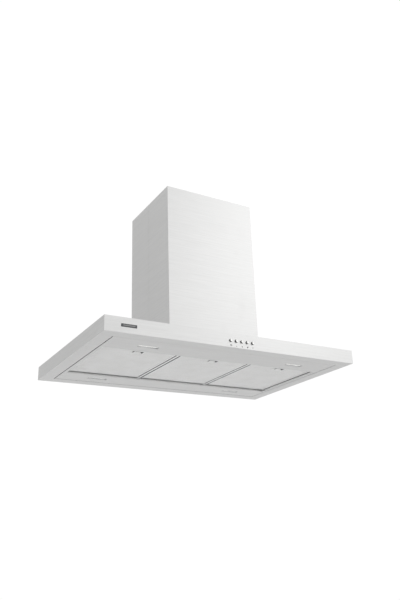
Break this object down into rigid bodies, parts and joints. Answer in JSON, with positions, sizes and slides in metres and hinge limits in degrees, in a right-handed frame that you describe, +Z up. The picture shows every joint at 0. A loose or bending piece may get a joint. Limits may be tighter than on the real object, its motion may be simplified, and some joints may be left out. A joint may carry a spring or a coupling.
{
  "type": "island range hood",
  "caption": "Island range hood: flat slab canopy with hinged mesh filters, lamps and push buttons under a telescopic box chimney hung from a ceiling plate.",
  "frame": {"origin": "centre of the ceiling plate's top face, where the hood meets the ceiling", "axes": "+Z up, -Y towards the front with the push buttons, +X along the canopy's long side"},
  "size_m": [0.9, 0.605, 0.608],
  "materials": {
    "brushed_steel": "horizontal brushed grain, satin",
    "aluminium": "woven filter mesh and drawn frame, satin",
    "galvanised": "galvanised sheet, matt",
    "black_plastic": "moulded, fine matt grain",
    "grey_plastic": "moulded, fine matt grain",
    "lamp_white": "opal diffuser, smooth",
    "chrome": "polished",
    "badge_metal": "dark anodised, satin"
  },
  "bodies": {
    "ceiling_frame": {"ceiling_plate": "galvanised", "upper_chimney_front": "brushed_steel", "upper_chimney_back": "brushed_steel", "upper_post_front_left": "galvanised", "upper_post_front_right": "galvanised", "upper_post_back_left": "galvanised", "upper_post_back_right": "galvanised"},
    "hood": {"lower_post_front_left": "galvanised", "lower_post_front_right": "galvanised", "lower_post_back_left": "galvanised", "lower_post_back_right": "galvanised", "lower_chimney_front": "brushed_steel", "lower_chimney_back": "brushed_steel", "canopy_shell": "brushed_steel", "inner_panel": "brushed_steel", "filter_divider_left": "aluminium", "filter_divider_right": "aluminium", "base_frame": "galvanised", "lower_brace": "galvanised", "lamp_lens_front_left": "lamp_white", "lamp_housing_front_left": "grey_plastic", "lamp_lens_front_right": "lamp_white", "lamp_housing_front_right": "grey_plastic", "lamp_lens_back_left": "lamp_white", "lamp_housing_back_left": "grey_plastic", "lamp_lens_back_right": "lamp_white", "lamp_housing_back_right": "grey_plastic", "switch_housing": "black_plastic", "badge_plate": "badge_metal", "blower_scroll": "black_plastic", "blower_side_left": "black_plastic", "blower_side_right": "black_plastic", "motor": "galvanised", "motor_bracket": "galvanised", "outlet_collar": "black_plastic", "damper_pin": "galvanised", "electrics_box": "black_plastic", "cable_gland": "grey_plastic", "capacitor": "grey_plastic"},
    "impeller": {"impeller_disc": "grey_plastic", "impeller_cage": "grey_plastic"},
    "damper_front": {"damper_flap_front": "grey_plastic"},
    "damper_back": {"damper_flap_back": "grey_plastic"},
    "filter_left": {"filter_frame_left": "aluminium", "filter_mesh_left": "aluminium", "latch_cup_left": "grey_plastic"},
    "filter_middle": {"filter_frame_middle": "aluminium", "filter_mesh_middle": "aluminium", "latch_cup_middle": "grey_plastic"},
    "filter_right": {"filter_frame_right": "aluminium", "filter_mesh_right": "aluminium", "latch_cup_right": "grey_plastic"},
    "latch_left": {"latch_tab_left": "chrome"},
    "latch_middle": {"latch_tab_middle": "chrome"},
    "latch_right": {"latch_tab_right": "chrome"},
    "button_1": {"button_1": "chrome"},
    "button_2": {"button_2": "chrome"},
    "button_3": {"button_3": "chrome"},
    "button_4": {"button_4": "chrome"},
    "button_5": {"button_5": "chrome"}
  },
  "joints": [
    {"name": "height_adjust", "type": "slide", "parent": "ceiling_frame", "child": "hood", "axis": [0, 0, -1], "range_m": [0, 0.3]},
    {"name": "impeller_spin", "type": "hinge", "parent": "hood", "child": "impeller", "pos_m": [0, 0.05, -0.448], "axis": [-1, 0, 0], "continuous": true},
    {"name": "damper_front_swing", "type": "hinge", "parent": "hood", "child": "damper_front", "pos_m": [0, 0, -0.3157], "axis": [-1, 0, 0], "range_deg": [0, 80]},
    {"name": "damper_back_swing", "type": "hinge", "parent": "hood", "child": "damper_back", "pos_m": [0, 0, -0.3157], "axis": [1, 0, 0], "range_deg": [0, 80]},
    {"name": "filter_left_swing", "type": "hinge", "parent": "hood", "child": "filter_left", "pos_m": [-0.268, 0.159, -0.602], "axis": [1, 0, 0], "range_deg": [0, 80]},
    {"name": "filter_middle_swing", "type": "hinge", "parent": "hood", "child": "filter_middle", "pos_m": [0, 0.159, -0.602], "axis": [1, 0, 0], "range_deg": [0, 80]},
    {"name": "filter_right_swing", "type": "hinge", "parent": "hood", "child": "filter_right", "pos_m": [0.268, 0.159, -0.602], "axis": [1, 0, 0], "range_deg": [0, 80]},
    {"name": "latch_left_slide", "type": "slide", "parent": "filter_left", "child": "latch_left", "axis": [0, 1, 0], "range_m": [0, 0.006], "stiffness_N_per_m": 400, "springref_m": -0.004},
    {"name": "latch_middle_slide", "type": "slide", "parent": "filter_middle", "child": "latch_middle", "axis": [0, 1, 0], "range_m": [0, 0.006], "stiffness_N_per_m": 400, "springref_m": -0.004},
    {"name": "latch_right_slide", "type": "slide", "parent": "filter_right", "child": "latch_right", "axis": [0, 1, 0], "range_m": [0, 0.006], "stiffness_N_per_m": 400, "springref_m": -0.004},
    {"name": "button_1_press", "type": "slide", "parent": "hood", "child": "button_1", "axis": [0, 1, 0], "range_m": [0, 0.003], "stiffness_N_per_m": 500, "springref_m": -0.002},
    {"name": "button_2_press", "type": "slide", "parent": "hood", "child": "button_2", "axis": [0, 1, 0], "range_m": [0, 0.003], "stiffness_N_per_m": 500, "springref_m": -0.002},
    {"name": "button_3_press", "type": "slide", "parent": "hood", "child": "button_3", "axis": [0, 1, 0], "range_m": [0, 0.003], "stiffness_N_per_m": 500, "springref_m": -0.002},
    {"name": "button_4_press", "type": "slide", "parent": "hood", "child": "button_4", "axis": [0, 1, 0], "range_m": [0, 0.003], "stiffness_N_per_m": 500, "springref_m": -0.002},
    {"name": "button_5_press", "type": "slide", "parent": "hood", "child": "button_5", "axis": [0, 1, 0], "range_m": [0, 0.003], "stiffness_N_per_m": 500, "springref_m": -0.002}
  ]
}
